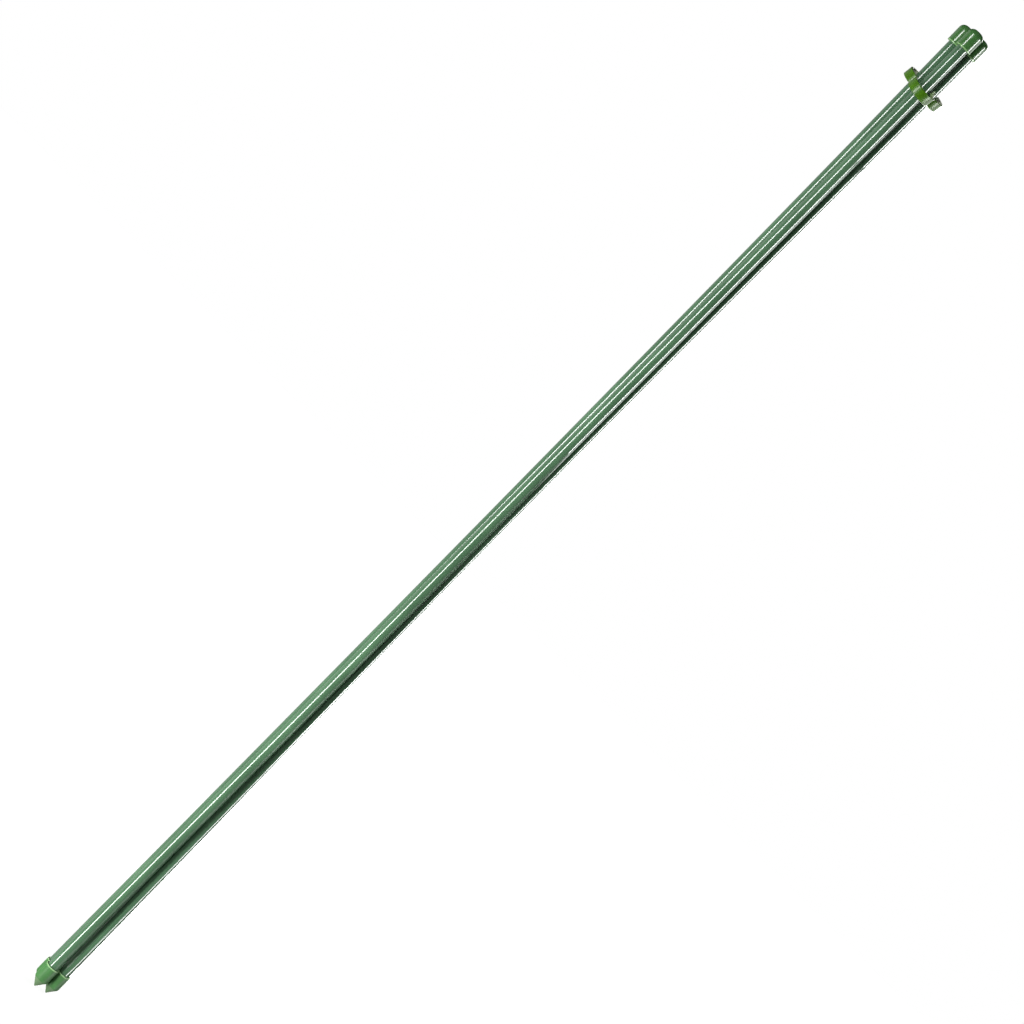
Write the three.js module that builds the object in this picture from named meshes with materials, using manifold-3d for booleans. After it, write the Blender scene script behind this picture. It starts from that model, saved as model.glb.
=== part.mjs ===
// Conical plant support: three coated steel stakes with domed caps and pointed ground tips, gathered near
// the top by one loose three-lobed collar. Modelled folded into a bundle, as it is sold and stored.
// Millimetres, +Z up the stakes, origin on the bundle's axis at the level of the front tip's point.
import * as THREE from 'three';
import Module from 'manifold-3d';

const wasm = await Module();
wasm.setup();

// Whole support
const overallLength = 1200;
const seatGap = 0.3;
const roundSegments = 24;
const legAngles = { left: 150, front: -90, right: 30 };

// Stakes: a thin steel tube inside an extruded coating
const stakeDiameter = 11.4;
const coatingWall = 0.5;
const coatingClearance = 0.1;
const coreWall = 0.5;
const stakeSteps = 16;

// Caps on the upper ends
const capLength = 19.6;
const capBoreDepth = 15.7;
const capBoreClearance = 0.2;
const capWall = 1.85;
const capBeadHeight = 1.4;
const capBeadProud = 0.1;
const capShoulderHeight = 5.2;
const capCrownRadius = 2.2;
const capShoulderSteps = 6;

// Tips on the lower ends: thin cups with grip ribs inside and a pointed foot
const tipConeLength = 9.6;
const tipBodyLength = 15.8;
const tipFloor = 1.5;
const tipWall = 0.85;
const tipMouthGap = 0.65;
const tipPointRadius = 0.5;
const tipPointHeight = 0.3;
const tipEdgeRadius = 0.5;
const tipLipRadius = 0.25;
const gripRibs = 6;
const gripRibWidth = 1.4;
const gripRibClearance = 0.2;
const gripRibSetback = 2.5;
const gripRibSunk = 0.4;

// How the stakes lie in the bundle: free room between neighbours at three heights, a slight twist, how far
// each loose stake has slipped along the others, and how far it bows aside at mid-length, as [x, y]
const capSpacing = 0.55;
const waistSpacing = 0.35;
const tipSpacing = 0.35;
const bundleTwist = THREE.MathUtils.degToRad(21.5);
const legSlip = { left: -1.3, front: 0, right: -0.5 };
const legBow = { left: [0, 6.3], front: [0, 0], right: [-1.9, 1.5] };

// Collar: three fused loops that each let a capped stake through, with one pointed tongue inside
const collarHeight = 9;
const collarWall = 1.6;
const collarEdge = 0.5;
const collarDrop = 68.2;
const collarPlay = 3.4;
const collarSeat = 0.7;
const collarSpread = 0.88;
const collarArcSteps = 32;
const collarTiltFront = THREE.MathUtils.degToRad(14);
const collarTiltSide = THREE.MathUtils.degToRad(7.5);
const collarOffset = 0.1;
const tongueAngle = -30;
const tongueThickness = 1.6;
const tongueHeight = 4.5;
const tongueReach = 4.2;
const tongueLean = 3.6;
const tongueRoot = 2;
const tongueSunk = 0.8;

// Radius of the circle through three centres that stand the given distance apart
function circleThrough(distance) {
  return distance / (2 * Math.sin(Math.PI / 3));
}

// Sizes that follow from the driving dimensions
const stakeRadius = stakeDiameter / 2;
const coatingBoreRadius = stakeRadius - coatingWall;
const coreRadius = coatingBoreRadius - coatingClearance;
const capRadius = stakeRadius + capBoreClearance + capWall;
const capMouthRadius = capRadius + capBeadProud;
const capCrownHeight = capLength - capBoreDepth;
const tipBoreRadius = stakeRadius + tipMouthGap;
const tipRadius = tipBoreRadius + tipWall;
const stakeFootHeight = tipConeLength + tipFloor + seatGap;
const stakeLength = overallLength - stakeFootHeight - capCrownHeight - seatGap;
const capCircleRadius = circleThrough(2 * capMouthRadius + capSpacing);
const waistRadius = circleThrough(stakeDiameter + waistSpacing);
const tipCircleRadius = circleThrough(2 * tipRadius + tipSpacing);
const lobeBoreRadius = capMouthRadius + collarPlay;
const lobeCircleRadius = capCircleRadius + collarSpread;
const collarLevel = overallLength - collarDrop;

const coatingMaterial = new THREE.MeshStandardMaterial({ color: 0x4c7050, roughness: 0.35, metalness: 0 });
const coreMaterial = new THREE.MeshStandardMaterial({ color: 0x9a9d9c, roughness: 0.4, metalness: 0.9 });
const capMaterial = new THREE.MeshStandardMaterial({ color: 0x437a3c, roughness: 0.45, metalness: 0 });
const tipMaterial = new THREE.MeshStandardMaterial({ color: 0x50914e, roughness: 0.45, metalness: 0 });
const collarMaterial = new THREE.MeshStandardMaterial({ color: 0x427a10, roughness: 0.3, metalness: 0 });

const upward = new THREE.Vector3(0, 0, 1);

// Centre line of one stake: a shallow waist at mid-length, a slow turn about the bundle, and its own bow
class StakeAxis extends THREE.Curve {
  constructor(side) {
    super();
    this.facing = THREE.MathUtils.degToRad(legAngles[side]);
    this.slip = legSlip[side];
    this.bow = legBow[side];
  }

  getPoint(along, target = new THREE.Vector3()) {
    const fromWaist = 2 * along - 1;
    const endRadius = fromWaist < 0 ? tipCircleRadius : capCircleRadius;
    const radius = THREE.MathUtils.lerp(waistRadius, endRadius, fromWaist * fromWaist);
    const turn = this.facing - bundleTwist * (1 - along);
    const bowShare = (1 - fromWaist * fromWaist) ** 2;
    return target.set(
      radius * Math.cos(turn) + bowShare * this.bow[0],
      radius * Math.sin(turn) + bowShare * this.bow[1],
      stakeFootHeight + stakeLength * along + this.slip,
    );
  }
}

// A closed solid from a half-profile of [radius, height] points, turned about Z
function revolve(profile) {
  const points = profile.map(([radius, height]) => new THREE.Vector2(radius, height));
  return new THREE.LatheGeometry(points, roundSegments).rotateX(Math.PI / 2);
}

// Points on a quarter ellipse from (startRadius, startHeight), square at both ends
function quarterRound(startRadius, startHeight, endRadius, endHeight, steps) {
  const points = [];
  for (let step = 0; step <= steps; step += 1) {
    const turn = (step / steps) * (Math.PI / 2);
    const radius = endRadius + (startRadius - endRadius) * Math.cos(turn);
    points.push([radius, startHeight + (endHeight - startHeight) * Math.sin(turn)]);
  }
  return points;
}

// Radius of a faceted bore whose flats clear a round of the given radius
function boreAround(radius) {
  return radius / Math.cos(Math.PI / roundSegments);
}

function circlePoints(radius) {
  const points = [];
  for (let step = 0; step < roundSegments; step += 1) {
    const turn = (step / roundSegments) * 2 * Math.PI;
    points.push(new THREE.Vector2(radius * Math.cos(turn), radius * Math.sin(turn)));
  }
  return points;
}

// A tube that follows the stake's centre line from end to end
function stakeTube(axis, outerRadius, innerRadius) {
  const section = new THREE.Shape(circlePoints(outerRadius));
  section.holes.push(new THREE.Path(circlePoints(innerRadius)));
  return new THREE.ExtrudeGeometry(section, { steps: stakeSteps, extrudePath: axis });
}

// A solid from a closed surface, with corners that share a place joined
function toSolid(geometry) {
  const loose = geometry.index ? geometry.toNonIndexed() : geometry;
  const vertProperties = new Float32Array(loose.attributes.position.array);
  const triVerts = Uint32Array.from({ length: vertProperties.length / 3 }, (unused, corner) => corner);
  const mesh = new wasm.Mesh({ numProp: 3, vertProperties, triVerts });
  mesh.merge();
  return new wasm.Manifold(mesh);
}

function toGeometry(solid) {
  const mesh = solid.getMesh();
  const geometry = new THREE.BufferGeometry();
  geometry.setAttribute('position', new THREE.BufferAttribute(mesh.vertProperties, 3));
  geometry.setIndex(new THREE.BufferAttribute(mesh.triVerts, 1));
  geometry.computeVertexNormals();
  return geometry;
}

// Cap: height 0 is the ceiling of its bore, where the stake's end sits
function capGeometry() {
  const mouth = -capBoreDepth;
  const shoulder = capCrownHeight - capShoulderHeight;
  const bore = boreAround(stakeRadius + capBoreClearance);
  return revolve([
    [0, 0],
    [bore, 0],
    [bore, mouth],
    [capMouthRadius - capBeadProud, mouth],
    [capMouthRadius, mouth + capBeadProud],
    [capMouthRadius, mouth + capBeadHeight],
    [capRadius, mouth + capBeadHeight + capBeadProud],
    ...quarterRound(capRadius, shoulder, capCrownRadius, capCrownHeight, capShoulderSteps),
    [0, capCrownHeight],
  ]);
}

// Tip: height 0 is the floor of its cup, where the stake's end sits
function tipGeometry() {
  const coneBase = -tipFloor;
  const point = coneBase - tipConeLength;
  const mouth = coneBase + tipBodyLength;
  const bore = boreAround(tipBoreRadius);
  const slope = tipConeLength / tipRadius;
  let cup = toSolid(revolve([
    [0, point],
    [tipPointRadius, point + tipPointHeight],
    [tipRadius - tipEdgeRadius, coneBase - tipEdgeRadius * slope],
    [tipRadius, coneBase + tipEdgeRadius],
    [tipRadius, mouth - tipLipRadius],
    [tipRadius - tipLipRadius, mouth],
    [bore, mouth],
    [bore, 0],
    [0, 0],
  ]));
  const ribHeight = mouth - gripRibSetback;
  const ribInner = stakeRadius + gripRibClearance;
  const ribOuter = tipBoreRadius + gripRibSunk;
  for (let rib = 0; rib < gripRibs; rib += 1) {
    const bar = new THREE.BoxGeometry(ribOuter - ribInner, gripRibWidth, ribHeight);
    bar.translate((ribInner + ribOuter) / 2, 0, ribHeight / 2);
    bar.rotateZ((rib / gripRibs) * 2 * Math.PI);
    cup = cup.add(toSolid(bar));
  }
  return toGeometry(cup);
}

// Outline of three fused circles, one on each stake's side of the collar
function lobedOutline(lobeRadius) {
  const halfSector = Math.PI / 3;
  const cusp = halfSector + Math.asin((lobeCircleRadius * Math.sin(halfSector)) / lobeRadius);
  const points = [];
  for (const degrees of [legAngles.front, legAngles.right, legAngles.left]) {
    const facing = THREE.MathUtils.degToRad(degrees);
    const centreX = lobeCircleRadius * Math.cos(facing);
    const centreY = lobeCircleRadius * Math.sin(facing);
    for (let step = 0; step < collarArcSteps; step += 1) {
      const turn = facing + cusp * ((2 * step) / collarArcSteps - 1);
      points.push(new THREE.Vector2(
        centreX + lobeRadius * Math.cos(turn),
        centreY + lobeRadius * Math.sin(turn),
      ));
    }
  }
  return points;
}

// Distance from the collar's centre to the ridge between two lobes of its inner wall
function ridgeRadius(lobeRadius) {
  const sideways = lobeCircleRadius * Math.sin(Math.PI / 3);
  return lobeCircleRadius * Math.cos(Math.PI / 3) + Math.sqrt(lobeRadius ** 2 - sideways ** 2);
}

// Corners of the tongue, as [distance from the collar's centre, height]
function tongueCorners() {
  const rim = collarHeight / 2;
  const ridge = ridgeRadius(lobeBoreRadius);
  const rootRadius = ridge + tongueSunk;
  return [
    [rootRadius, rim - collarEdge],
    [ridge - tongueLean, rim + tongueHeight],
    [ridge - tongueReach, rim - collarEdge],
    [ridge, rim - tongueRoot],
    [rootRadius, rim - tongueRoot],
  ];
}

function collarGeometry() {
  const outline = new THREE.Shape(lobedOutline(lobeBoreRadius + collarWall));
  outline.holes.push(new THREE.Path(lobedOutline(lobeBoreRadius)));
  const band = new THREE.ExtrudeGeometry(outline, {
    depth: collarHeight - 2 * collarEdge,
    bevelThickness: collarEdge,
    bevelSize: collarEdge,
    bevelOffset: -collarEdge,
    bevelSegments: 1,
  });
  band.translate(0, 0, collarEdge - collarHeight / 2);
  const side = new THREE.Shape(tongueCorners().map(([radius, height]) => new THREE.Vector2(radius, height)));
  const tongue = new THREE.ExtrudeGeometry(side, { depth: tongueThickness, bevelEnabled: false });
  tongue.translate(0, 0, -tongueThickness / 2);
  tongue.rotateX(Math.PI / 2);
  tongue.rotateZ(THREE.MathUtils.degToRad(tongueAngle));
  return toGeometry(toSolid(band).add(toSolid(tongue)));
}

// Where the edges of one lobe's bore lie once the collar is tilted, round the side away from the front
function lobeEdgePoints(degrees, tilt) {
  const facing = THREE.MathUtils.degToRad(degrees);
  const points = [];
  for (let step = 0; step <= collarArcSteps; step += 1) {
    const turn = (step / collarArcSteps) * Math.PI;
    const x = lobeCircleRadius * Math.cos(facing) + lobeBoreRadius * Math.cos(turn);
    const y = lobeCircleRadius * Math.sin(facing) + lobeBoreRadius * Math.sin(turn);
    for (const height of [-collarHeight / 2, collarHeight / 2]) {
      points.push(new THREE.Vector3(x, y, height).applyEuler(tilt));
    }
  }
  return points;
}

// Slides the tilted collar forward until it hangs on the back of the left or the right stake
function seatCollar(collar) {
  const along = (collarLevel - stakeFootHeight) / stakeLength;
  const reach = stakeRadius + collarSeat;
  let travel = -Infinity;
  for (const side of ['left', 'right']) {
    const stake = new StakeAxis(side).getPoint(along);
    for (const edge of lobeEdgePoints(legAngles[side], collar.rotation)) {
      const aside = stake.x - collarOffset - edge.x;
      if (Math.abs(aside) < reach) {
        travel = Math.max(travel, stake.y + Math.sqrt(reach ** 2 - aside ** 2) - edge.y);
      }
    }
  }
  collar.position.set(collarOffset, travel, collarLevel);
}

// Puts a piece on the stake's centre line, turned to follow it
function seatOnStake(piece, axis, along, offset) {
  const direction = axis.getTangent(along);
  piece.position.copy(axis.getPoint(along)).addScaledVector(direction, offset);
  piece.quaternion.setFromUnitVectors(upward, direction);
}

function namedMesh(name, geometry, material) {
  const mesh = new THREE.Mesh(geometry, material);
  mesh.name = name;
  return mesh;
}

const cap = capGeometry();
const tip = tipGeometry();

function makeLeg(side) {
  const axis = new StakeAxis(side);
  const coating = stakeTube(axis, stakeRadius, coatingBoreRadius);
  const core = stakeTube(axis, coreRadius, coreRadius - coreWall);
  const topCap = namedMesh(`${side}_cap`, cap, capMaterial);
  seatOnStake(topCap, axis, 1, seatGap);
  const groundTip = namedMesh(`${side}_ground_tip`, tip, tipMaterial);
  seatOnStake(groundTip, axis, 0, -seatGap);
  const leg = new THREE.Group();
  leg.add(
    namedMesh(`${side}_coating`, coating, coatingMaterial),
    namedMesh(`${side}_steel_core`, core, coreMaterial),
    topCap,
    groundTip,
  );
  return leg;
}

const group = new THREE.Group();
for (const side of Object.keys(legAngles)) group.add(makeLeg(side));

const collar = namedMesh('collar', collarGeometry(), collarMaterial);
collar.rotation.set(collarTiltFront, collarTiltSide, 0);
seatCollar(collar);
group.add(collar);

export default group;
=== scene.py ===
"""Conical plant support: three coated stakes with caps and ground tips, gathered by a loose lobed collar."""

import math
from collections import namedtuple

import bmesh
import bpy
from bpy.props import FloatProperty, FloatVectorProperty, PointerProperty
from mathutils import Matrix, Vector


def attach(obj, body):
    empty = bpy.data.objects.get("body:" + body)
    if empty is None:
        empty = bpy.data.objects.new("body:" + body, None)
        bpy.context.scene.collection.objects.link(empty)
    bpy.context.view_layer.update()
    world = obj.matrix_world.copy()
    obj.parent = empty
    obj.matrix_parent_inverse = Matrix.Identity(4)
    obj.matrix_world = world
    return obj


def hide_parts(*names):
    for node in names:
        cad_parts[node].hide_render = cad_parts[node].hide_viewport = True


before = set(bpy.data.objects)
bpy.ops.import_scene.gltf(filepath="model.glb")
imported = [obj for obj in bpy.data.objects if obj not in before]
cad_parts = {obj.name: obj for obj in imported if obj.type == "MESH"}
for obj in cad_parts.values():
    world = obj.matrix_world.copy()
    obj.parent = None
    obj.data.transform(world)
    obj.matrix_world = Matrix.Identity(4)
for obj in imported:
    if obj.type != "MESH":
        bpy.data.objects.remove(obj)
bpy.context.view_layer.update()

bl_info = {
    "name": "Conical plant support",
    "version": (1, 0, 0),
    "blender": (4, 5, 0),
    "location": "3D View > Sidebar > Plant support",
    "description": "Models a folding plant support of three coated stakes and a lobed collar",
    "category": "Add Mesh",
}

MM = 0.001

# Where each stake stands about the bundle, in degrees from +X
LEG_ANGLES = {"left": 150, "front": -90, "right": 30}

# How far each loose stake has slipped along the others
LEG_SLIP = {"left": -1.3 * MM, "front": 0.0, "right": -0.5 * MM}

# How far each stake bows aside at mid-length, in X and Y
LEG_BOW = {"left": (0.0, 6.3 * MM), "front": (0.0, 0.0), "right": (-1.9 * MM, 1.5 * MM)}

OWN_HEIGHT = "own_height"
# Name of the attribute that carries the collar's painted reflection
OWN_SHEEN = "own_wear"
ROUND_SIDES = 64
STAKE_STEPS = 36
AXIS_STEP = 0.0005
TOUCH = 0.02 * MM
SMOOTH_ANGLE = math.radians(32)

# Small roundings and details that carry no dimension of their own
COATING_EDGE = 0.12 * MM
CAP_LIP = 0.45 * MM
CAP_LIP_INNER = 0.25 * MM
CAP_BEAD_HEIGHT = 1.4 * MM
CAP_ROUND_STEPS = 12
CAP_SIDE_RINGS = (0.06, 0.5, 0.96)
TIP_SHOULDER = 0.55 * MM
TIP_LIP = 0.24 * MM
TIP_POINT_RADIUS = 0.5 * MM
TIP_POINT_HEIGHT = 0.3 * MM
GRIP_RIBS = 6
GRIP_RIB_WIDTH = 1.4 * MM
GRIP_RIB_CLEARANCE = 0.2 * MM
GRIP_RIB_SETBACK = 2.5 * MM
GRIP_RIB_SUNK = 0.4 * MM
GRIP_RIB_EDGE = 0.15 * MM
LOBE_SIDES = 96
COLLAR_EDGE = 0.5 * MM
TONGUE_ANGLE = -30
TONGUE_THICKNESS = 1.6 * MM
TONGUE_HEIGHT = 4.5 * MM
TONGUE_REACH = 4.2 * MM
TONGUE_LEAN = 3.6 * MM
TONGUE_ROOT = 2 * MM
TONGUE_SUNK = 0.8 * MM
TONGUE_POINT = 0.6 * MM
TONGUE_EDGE = 0.3 * MM
# Share of the painted reflection that the tongue gets
TONGUE_SHEEN = 0.4

# Steps of the rounded edges, from a full round to a barely eased edge
ROUND_STEPS = 4
SMALL_ROUND_STEPS = 3
EASED_STEPS = 2

# Patterns in object coordinates: a small third stretch draws a pattern out along Z
Pattern = namedtuple("Pattern", "scale detail stretch")
DRAWN_LINES = Pattern(scale=1500, detail=2, stretch=(1, 1, 0.01))
DRAWN_CLOUDS = Pattern(scale=60, detail=3, stretch=(1, 1, 0.25))
MOULDED_CLOUDS = Pattern(scale=160, detail=3, stretch=(1, 1, 1))
MOULDED_GRAIN = Pattern(scale=2200, detail=2, stretch=(1, 1, 1))
PATTERN_ROUGHNESS = 0.55

# The stretch of a pattern's values over which one colour or finish gives way to another
PATTERN_RANGE = (0.3, 0.7)
COATING_STREAKS = (0.35, 0.65)
COATING_CLOUDS = (0.35, 0.7)
COLLAR_CLOUDS = (0.4, 0.75)
COLLAR_CLOUD_SHARE = 0.35
# The painted reflection on the loops' inner walls comes in over this stretch
COLLAR_SHEEN_RANGE = (0.2, 0.9)

# How dark the clouded parts are beside the full colour
COATING_SHADE = 0.86
CAP_SHADE = 0.82
TIP_SHADE = 0.85
STEEL_SHADE = 0.7

# Where painted highlights and the tip's greyer cone fade out: in shares of the cap's bead, and from the
# tip's cone base and mouth
CAP_LIP_HIGHLIGHT_FADE = (0.6, 1.3)
TIP_CONE_FADE = (-1.0 * MM, 0.5 * MM)
TIP_RIM_HIGHLIGHT_FADE = (-1.3 * MM, -0.4 * MM)

# Gloss and fine relief of each surface
Finish = namedtuple("Finish", "smoothest roughest specular bump bump_depth")
COATING_FINISH = Finish(smoothest=0.15, roughest=0.19, specular=0.9, bump=0.05, bump_depth=0.004 * MM)
CAP_FINISH = Finish(smoothest=0.2, roughest=0.24, specular=0.8, bump=0.03, bump_depth=0.01 * MM)
TIP_FINISH = Finish(smoothest=0.46, roughest=0.54, specular=0.22, bump=0.25, bump_depth=0.04 * MM)
COLLAR_FINISH = Finish(smoothest=0.28, roughest=0.34, specular=0.4, bump=0.06, bump_depth=0.01 * MM)
STEEL_FINISH = Finish(smoothest=0.32, roughest=0.48, specular=0.5, bump=0.2, bump_depth=0.02 * MM)

# The photograph's viewpoint, in metres, and the roll that lays the bundle across the frame
CAMERA_EYE = Vector((0.00366, -2.589, 0.908))
CAMERA_AIM = Vector((0.00366, 0.0, 0.61622))
CAMERA_ROLL = math.radians(44.6091)
CAMERA_LENS = 102.84
CAMERA_SENSOR = 36

# Lamps that face the stakes: the foot and head of each are a bearing from the camera's side in degrees,
# a distance and a height, and kinds are the reflections that the lamp acts on
Lamp = namedtuple("Lamp", "foot head width radiance kinds")
DIFFUSE = ("diffuse",)
GLOSS = ("glossy",)
BOTH = DIFFUSE + GLOSS
LAMPS = {
    "key_strip": Lamp((-43, 0.55, -0.7), (-36, 1.08, 1.45), width=0.17, radiance=21.5, kinds=BOTH),
    "right_strip": Lamp((94, 1.00, 0.1), (78, 0.80, 1.45), width=0.18, radiance=23.0, kinds=GLOSS),
    "right_low_strip": Lamp((60, 1.10, -0.7), (96, 1.10, 0.2), width=0.18, radiance=18.0, kinds=GLOSS),
    "right_fill": Lamp((103, 1.10, -0.7), (78, 0.80, 1.45), width=0.18, radiance=10.0, kinds=DIFFUSE),
    "rear_right_strip": Lamp((163, 0.90, -0.7), (163, 0.90, 1.45), width=0.25, radiance=16.0, kinds=BOTH),
    "right_card": Lamp((140, 0.90, 0.05), (140, 0.90, 1.45), width=1.5, radiance=2.2, kinds=GLOSS),
    "left_card": Lamp((-125, 0.90, -0.7), (-125, 0.90, 1.45), width=1.6, radiance=0.55, kinds=GLOSS),
    "top_fill": Lamp((-50, 0.60, 1.75), (130, 0.40, 1.95), width=0.8, radiance=1.3, kinds=DIFFUSE),
    "low_fill": Lamp((-28, 0.75, -0.5), (-28, 0.75, 0.25), width=0.5, radiance=3.8, kinds=DIFFUSE),
}
AMBIENT = 0.08

# The floor, which glows less near the object so that a soft shadow shows, and the dark stage pieces
FLOOR_SIZE = 8.0
FLOOR_LEVEL = -0.0004
FLOOR_GLOW = 0.9
FLOOR_FADE = (0.25, 0.8)
FLOOR_TINT = 0.12
DARK_TINT = 0.02
DARK_ROUGHNESS = 0.9
FLAG_PLACE = 0.008
FLAG_NEAR = -0.12
FLAG_EDGE = -0.0015
FLAG_LOW = -0.05
FLAG_HIGH = 0.69
FLAG_TAPER_LEVEL = 0.64
FLAG_TAPER_EDGE = -0.0106
PLATE_PLACE = (0.115, -0.06, 1.05)
PLATE_SIZE = (0.17, 0.18, 1.0)
SCREEN_RADIUS = 3.0
SCREEN_LOW = -1.8
SCREEN_HIGH = 3.0


def length_value(label, text, millimetres):
    return FloatProperty(
        name=label, description=text, default=millimetres * MM, min=0.0, precision=5, unit="LENGTH"
    )


def angle_value(label, text, degrees):
    return FloatProperty(name=label, description=text, default=math.radians(degrees), subtype="ANGLE")


def colour_value(label, text, colour):
    return FloatVectorProperty(
        name=label, description=text, default=colour, size=3, min=0.0, max=1.0, subtype="COLOR"
    )


class PlantSupportSizes(bpy.types.PropertyGroup):
    """Sizes of the support, the same as in the CAD model"""

    overall_length: length_value("Length", "Length of a stake from its point to its crown", 1200)
    seat_gap: length_value("Seat gap", "Room left where one piece sits in another", 0.3)
    stake_diameter: length_value("Stake diameter", "Diameter of a stake over its coating", 11.4)
    coating_wall: length_value("Coating wall", "Thickness of the plastic coating", 0.5)
    waist_spacing: length_value("Waist spacing", "Gap between the stakes at mid-length", 0.35)
    bundle_twist: angle_value("Bundle twist", "Turn of the folded bundle from end to end", 21.5)
    cap_length: length_value("Cap length", "Length of a cap from its mouth to its crown", 19.6)
    cap_bore_depth: length_value("Cap bore", "Depth of a cap's bore", 15.7)
    cap_wall: length_value("Cap wall", "Thickness of a cap's wall", 1.85)
    cap_clearance: length_value("Cap clearance", "Room between a cap's bore and the stake", 0.2)
    cap_bead: length_value("Cap bead", "How far a cap's mouth stands proud", 0.1)
    cap_shoulder: length_value("Cap shoulder", "Height of a cap's rounded shoulder", 5.3)
    cap_spacing: length_value("Cap spacing", "Gap between the caps of the folded bundle", 0.55)
    tip_cone: length_value("Tip cone", "Height of a ground tip's cone", 9.6)
    tip_body: length_value("Tip body", "Height of a ground tip's straight cup", 15.8)
    tip_floor: length_value("Tip floor", "Thickness of a ground tip under the stake", 1.5)
    tip_wall: length_value("Tip wall", "Thickness of a ground tip's wall", 0.85)
    tip_mouth_gap: length_value("Tip mouth", "Room between a ground tip's mouth and the stake", 0.65)
    tip_spacing: length_value("Tip spacing", "Gap between the tips of the folded bundle", 0.35)
    collar_height: length_value("Collar height", "Height of the collar's band", 9)
    collar_wall: length_value("Collar wall", "Thickness of the collar's band", 1.6)
    collar_play: length_value("Collar play", "Room between a loop and the cap that passes it", 3.4)
    collar_spread: length_value("Collar spread", "How far the loops stand outside the caps' circle", 0.88)
    collar_drop: length_value("Collar drop", "How far the collar hangs below the crowns", 68.2)
    collar_tilt_front: angle_value("Tilt to the front", "Lean of the loose collar to the front", 14)
    collar_tilt_side: angle_value("Tilt to the side", "Lean of the loose collar to the side", 7.5)
    collar_shift: FloatVectorProperty(
        name="Collar shift",
        description="Where the loose collar hangs, from the bundle's axis",
        default=(0.1 * MM, -3.2965 * MM),
        size=2,
        unit="LENGTH",
    )


class PlantSupportColours(bpy.types.PropertyGroup):
    """Colours of the moulded and extruded plastics"""

    coating: colour_value("Coating", "Grey green of the stakes", (0.052, 0.118, 0.0605))
    coating_pale: colour_value("Coating, pale", "Paler streaks of the stakes", (0.068, 0.146, 0.0765))
    cap: colour_value("Cap", "Mid green of the caps", (0.038, 0.122, 0.030))
    # Painted highlight: a pale colour on the caps' lip stands in for the light that its rounded edge catches
    cap_lip_highlight: colour_value("Cap, painted highlight", "Thin lip of the caps", (0.150, 0.300, 0.110))
    tip: colour_value("Tip", "Lighter green of the ground tips", (0.046, 0.142, 0.041))
    # Painted highlight: a pale colour on the tips' rim stands in for the light that it catches
    tip_rim_highlight: colour_value("Tip, painted highlight", "Thin rim of the ground tips", (0.205, 0.360, 0.160))
    tip_cone: colour_value("Tip, cone", "Greyer green of the cones", (0.100, 0.172, 0.084))
    collar: colour_value("Collar", "Yellow green of the collar", (0.033, 0.100, 0.0006))
    collar_pale: colour_value("Collar, pale", "Paler clouds of the collar", (0.060, 0.165, 0.006))
    # Painted reflection: a pale colour on the loops' inner walls stands in for the light they mirror
    collar_painted_sheen: colour_value("Collar, painted sheen", "Inner walls of the loops", (0.400, 0.430, 0.330))
    steel: colour_value("Steel", "Bare steel inside the coating", (0.420, 0.425, 0.420))


class Layout:
    """Sizes and places that follow from the sidebar's values"""

    def __init__(self, sizes):
        self.stake_radius = sizes.stake_diameter / 2
        self.cap_bore = self.stake_radius + sizes.cap_clearance
        self.cap_radius = self.cap_bore + sizes.cap_wall
        self.cap_mouth = self.cap_radius + sizes.cap_bead
        self.cap_crown = sizes.cap_length - sizes.cap_bore_depth
        self.tip_bore = self.stake_radius + sizes.tip_mouth_gap
        self.tip_radius = self.tip_bore + sizes.tip_wall
        self.foot = sizes.tip_cone + sizes.tip_floor + sizes.seat_gap
        self.stake_length = sizes.overall_length - self.foot - self.cap_crown - sizes.seat_gap
        self.cap_circle = circle_through(2 * self.cap_mouth + sizes.cap_spacing)
        self.waist_circle = circle_through(sizes.stake_diameter + sizes.waist_spacing)
        self.tip_circle = circle_through(2 * self.tip_radius + sizes.tip_spacing)
        self.lobe_bore = self.cap_mouth + sizes.collar_play
        self.lobe_radius = self.lobe_bore + sizes.collar_wall
        self.lobe_circle = self.cap_circle + sizes.collar_spread
        self.collar_level = sizes.overall_length - sizes.collar_drop
        self.twist = sizes.bundle_twist

    def axis_point(self, along, side):
        """Point of a stake's centre line, from 0 at its foot to 1 at its head"""
        from_waist = 2 * along - 1
        end_circle = self.tip_circle if from_waist < 0 else self.cap_circle
        radius = self.waist_circle + (end_circle - self.waist_circle) * from_waist ** 2
        turn = math.radians(LEG_ANGLES[side]) - self.twist * (1 - along)
        bow_x, bow_y = (amount * (1 - from_waist ** 2) ** 2 for amount in LEG_BOW[side])
        height = self.foot + self.stake_length * along + LEG_SLIP[side]
        return Vector((radius * math.cos(turn) + bow_x, radius * math.sin(turn) + bow_y, height))

    def axis_direction(self, along, side):
        low = max(0.0, along - AXIS_STEP)
        high = min(1.0, along + AXIS_STEP)
        return (self.axis_point(high, side) - self.axis_point(low, side)).normalized()

    def seat_on_stake(self, piece, along, side, offset):
        """Puts a piece on a stake's centre line, turned to follow it"""
        direction = self.axis_direction(along, side)
        place = self.axis_point(along, side) + direction * offset
        turn = Vector((0, 0, 1)).rotation_difference(direction).to_matrix().to_4x4()
        place_in_mesh(piece, Matrix.Translation(place) @ turn)


def circle_through(distance):
    """Radius of the circle through three centres that stand the given distance apart"""
    return distance / (2 * math.sin(math.pi / 3))


def select_only(*pieces):
    bpy.ops.object.select_all(action="DESELECT")
    for piece in pieces:
        piece.select_set(True)
    bpy.context.view_layer.objects.active = pieces[0]


def added(name):
    """The primitive just added, named, with its place moved into its mesh"""
    piece = bpy.context.object
    piece.name = name
    piece.data.name = name
    bpy.ops.object.transform_apply(location=True, rotation=True, scale=True)
    return piece


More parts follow.
